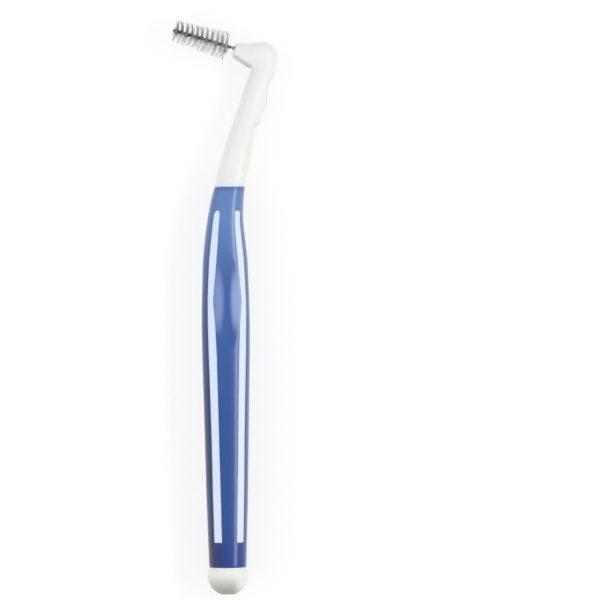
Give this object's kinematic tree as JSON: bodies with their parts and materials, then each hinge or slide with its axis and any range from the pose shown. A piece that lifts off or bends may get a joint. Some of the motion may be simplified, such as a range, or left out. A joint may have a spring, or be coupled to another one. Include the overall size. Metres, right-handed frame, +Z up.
{
  "type": "interdental brush",
  "caption": "Interdental brush: slim two-colour moulded handle with thumb rests, a neck that bends away, an L-shaped head, and a tapered twisted-wire brush.",
  "frame": {"origin": "middle of the outline's box, on the surface that the brush lies on", "axes": "+Y along the grip from the tail to the head, +Z up from the table, the brush points towards -X"},
  "size_m": [0.0264, 0.1434, 0.0101],
  "materials": {
    "white_polypropylene": "satin moulded, slightly translucent white",
    "blue_elastomer": "soft matte overmoulded grip",
    "steel_wire": "bright drawn stainless wire",
    "nylon_filament": "fine grey nylon threads"
  },
  "bodies": {
    "root": {"handle_core": "white_polypropylene", "grip_sleeve": "blue_elastomer", "twisted_wire": "steel_wire", "filament_turn_01": "nylon_filament", "filament_turn_02": "nylon_filament", "filament_turn_03": "nylon_filament", "filament_turn_04": "nylon_filament", "filament_turn_05": "nylon_filament", "filament_turn_06": "nylon_filament", "filament_turn_07": "nylon_filament", "filament_turn_08": "nylon_filament", "filament_turn_09": "nylon_filament", "filament_turn_10": "nylon_filament", "filament_turn_11": "nylon_filament"}
  },
  "joints": []
}
